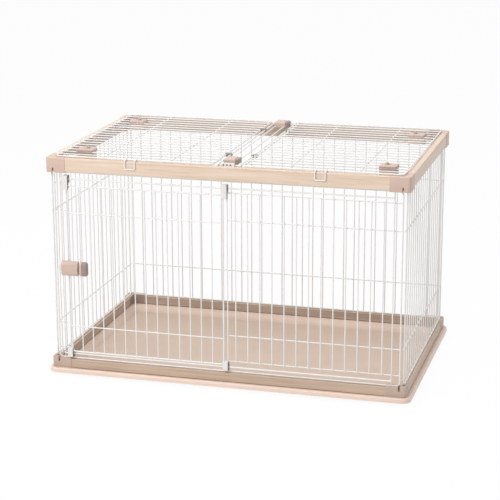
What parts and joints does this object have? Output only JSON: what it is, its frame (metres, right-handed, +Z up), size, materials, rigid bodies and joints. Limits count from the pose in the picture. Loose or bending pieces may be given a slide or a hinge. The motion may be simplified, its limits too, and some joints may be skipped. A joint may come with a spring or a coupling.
{
  "type": "pet playpen",
  "caption": "Free-standing dog playpen with wood-look rails, welded wire panels, a sliding front door, a floor tray and a two-part lifting wire roof.",
  "frame": {"origin": "centre of the tray's underside, on the floor", "axes": "+X to the right along the front, -Y out of the front, +Z up"},
  "size_m": [0.95, 0.62, 0.5933],
  "materials": {
    "rail_wood": "pale wood, fine straight grain, matt",
    "corner_moulding": "pinkish beige moulding, fine matt",
    "tray": "beige moulding, fine matt",
    "white_wire": "white powder coat",
    "white_plastic": "white moulding",
    "latch_plastic": "pinkish brown moulding",
    "grip_plastic": "grey brown moulding",
    "steel": "bright steel"
  },
  "bodies": {
    "root": {"back_panel": "white_wire", "centre_latch_back": "latch_plastic", "centre_latch_front": "latch_plastic", "centre_saddle_back": "white_plastic", "centre_saddle_front": "white_plastic", "floor_tray": "tray", "foot_corner_back_left": "corner_moulding", "foot_corner_back_right": "corner_moulding", "foot_corner_front_left": "corner_moulding", "foot_corner_front_right": "corner_moulding", "foot_rail_back": "rail_wood", "foot_rail_front": "rail_wood", "foot_rail_left": "rail_wood", "foot_rail_right": "rail_wood", "front_panel": "white_wire", "left_panel": "white_wire", "right_panel": "white_wire", "roof_centre_wires": "white_wire", "top_corner_back_left": "corner_moulding", "top_corner_back_right": "corner_moulding", "top_corner_front_left": "corner_moulding", "top_corner_front_right": "corner_moulding", "top_rail_back": "rail_wood", "top_rail_front": "rail_wood", "top_rail_left": "rail_wood", "top_rail_right": "rail_wood"},
    "front_door": {"door_panel": "white_wire", "door_clips": "white_plastic", "latch_housing": "latch_plastic", "latch_pin": "steel"},
    "door_pull": {"latch_pull": "grip_plastic"},
    "door_hook": {"latch_hook": "white_plastic"},
    "roof_left": {"roof_grid_left": "white_wire", "hinge_clips_left": "white_plastic", "roof_lock_front_left": "latch_plastic", "roof_lock_back_left": "latch_plastic"},
    "bolt_front_left": {"roof_bolt_front_left": "steel"},
    "hook_front_left": {"rail_hook_front_left": "white_wire"},
    "bolt_back_left": {"roof_bolt_back_left": "steel"},
    "hook_back_left": {"rail_hook_back_left": "white_wire"},
    "roof_right": {"roof_grid_right": "white_wire", "hinge_clips_right": "white_plastic", "roof_lock_front_right": "latch_plastic", "roof_lock_back_right": "latch_plastic"},
    "bolt_front_right": {"roof_bolt_front_right": "steel"},
    "hook_front_right": {"rail_hook_front_right": "white_wire"},
    "bolt_back_right": {"roof_bolt_back_right": "steel"},
    "hook_back_right": {"rail_hook_back_right": "white_wire"},
    "centre_slider_front": {"centre_pull_front": "grip_plastic"},
    "centre_slider_back": {"centre_pull_back": "grip_plastic"}
  },
  "joints": [
    {"name": "door_slide", "type": "slide", "parent": "root", "child": "front_door", "axis": [1, 0, 0], "range_m": [0, 0.4]},
    {"name": "latch_pull_slide", "type": "slide", "parent": "front_door", "child": "door_pull", "axis": [1, 0, 0], "range_m": [-0.0035, 0]},
    {"name": "latch_hook_swing", "type": "hinge", "parent": "front_door", "child": "door_hook", "pos_m": [-0.414, -0.302, 0.289], "axis": [0, 0, 1], "range_deg": [-15.2, 0.2]},
    {"name": "roof_left_lift", "type": "hinge", "parent": "root", "child": "roof_left", "pos_m": [-0.017, 0, 0.5775], "axis": [0, 1, 0], "range_deg": [0, 90]},
    {"name": "bolt_front_left_slide", "type": "slide", "parent": "roof_left", "child": "bolt_front_left", "axis": [-1, 0, 0], "range_m": [0, 0.01]},
    {"name": "hook_front_left_swing", "type": "hinge", "parent": "roof_left", "child": "hook_front_left", "pos_m": [-0.24, -0.286, 0.5775], "axis": [-1, 0, 0], "range_deg": [0, 95]},
    {"name": "bolt_back_left_slide", "type": "slide", "parent": "roof_left", "child": "bolt_back_left", "axis": [-1, 0, 0], "range_m": [0, 0.01]},
    {"name": "hook_back_left_swing", "type": "hinge", "parent": "roof_left", "child": "hook_back_left", "pos_m": [-0.24, 0.286, 0.5775], "axis": [1, 0, 0], "range_deg": [0, 95]},
    {"name": "roof_right_lift", "type": "hinge", "parent": "root", "child": "roof_right", "pos_m": [0.041, 0, 0.5775], "axis": [0, -1, 0], "range_deg": [0, 90]},
    {"name": "bolt_front_right_slide", "type": "slide", "parent": "roof_right", "child": "bolt_front_right", "axis": [1, 0, 0], "range_m": [0, 0.01]},
    {"name": "hook_front_right_swing", "type": "hinge", "parent": "roof_right", "child": "hook_front_right", "pos_m": [0.244, -0.286, 0.5775], "axis": [-1, 0, 0], "range_deg": [0, 95]},
    {"name": "bolt_back_right_slide", "type": "slide", "parent": "roof_right", "child": "bolt_back_right", "axis": [1, 0, 0], "range_m": [0, 0.01]},
    {"name": "hook_back_right_swing", "type": "hinge", "parent": "roof_right", "child": "hook_back_right", "pos_m": [0.244, 0.286, 0.5775], "axis": [1, 0, 0], "range_deg": [0, 95]},
    {"name": "centre_front_slide", "type": "slide", "parent": "root", "child": "centre_slider_front", "axis": [1, 0, 0], "range_m": [0, 0.003]},
    {"name": "centre_back_slide", "type": "slide", "parent": "root", "child": "centre_slider_back", "axis": [1, 0, 0], "range_m": [0, 0.003]}
  ],
  "couplings": [
    {"joint": "latch_hook_swing", "follows": "latch_pull_slide", "rad_per_m": 74.8}
  ]
}
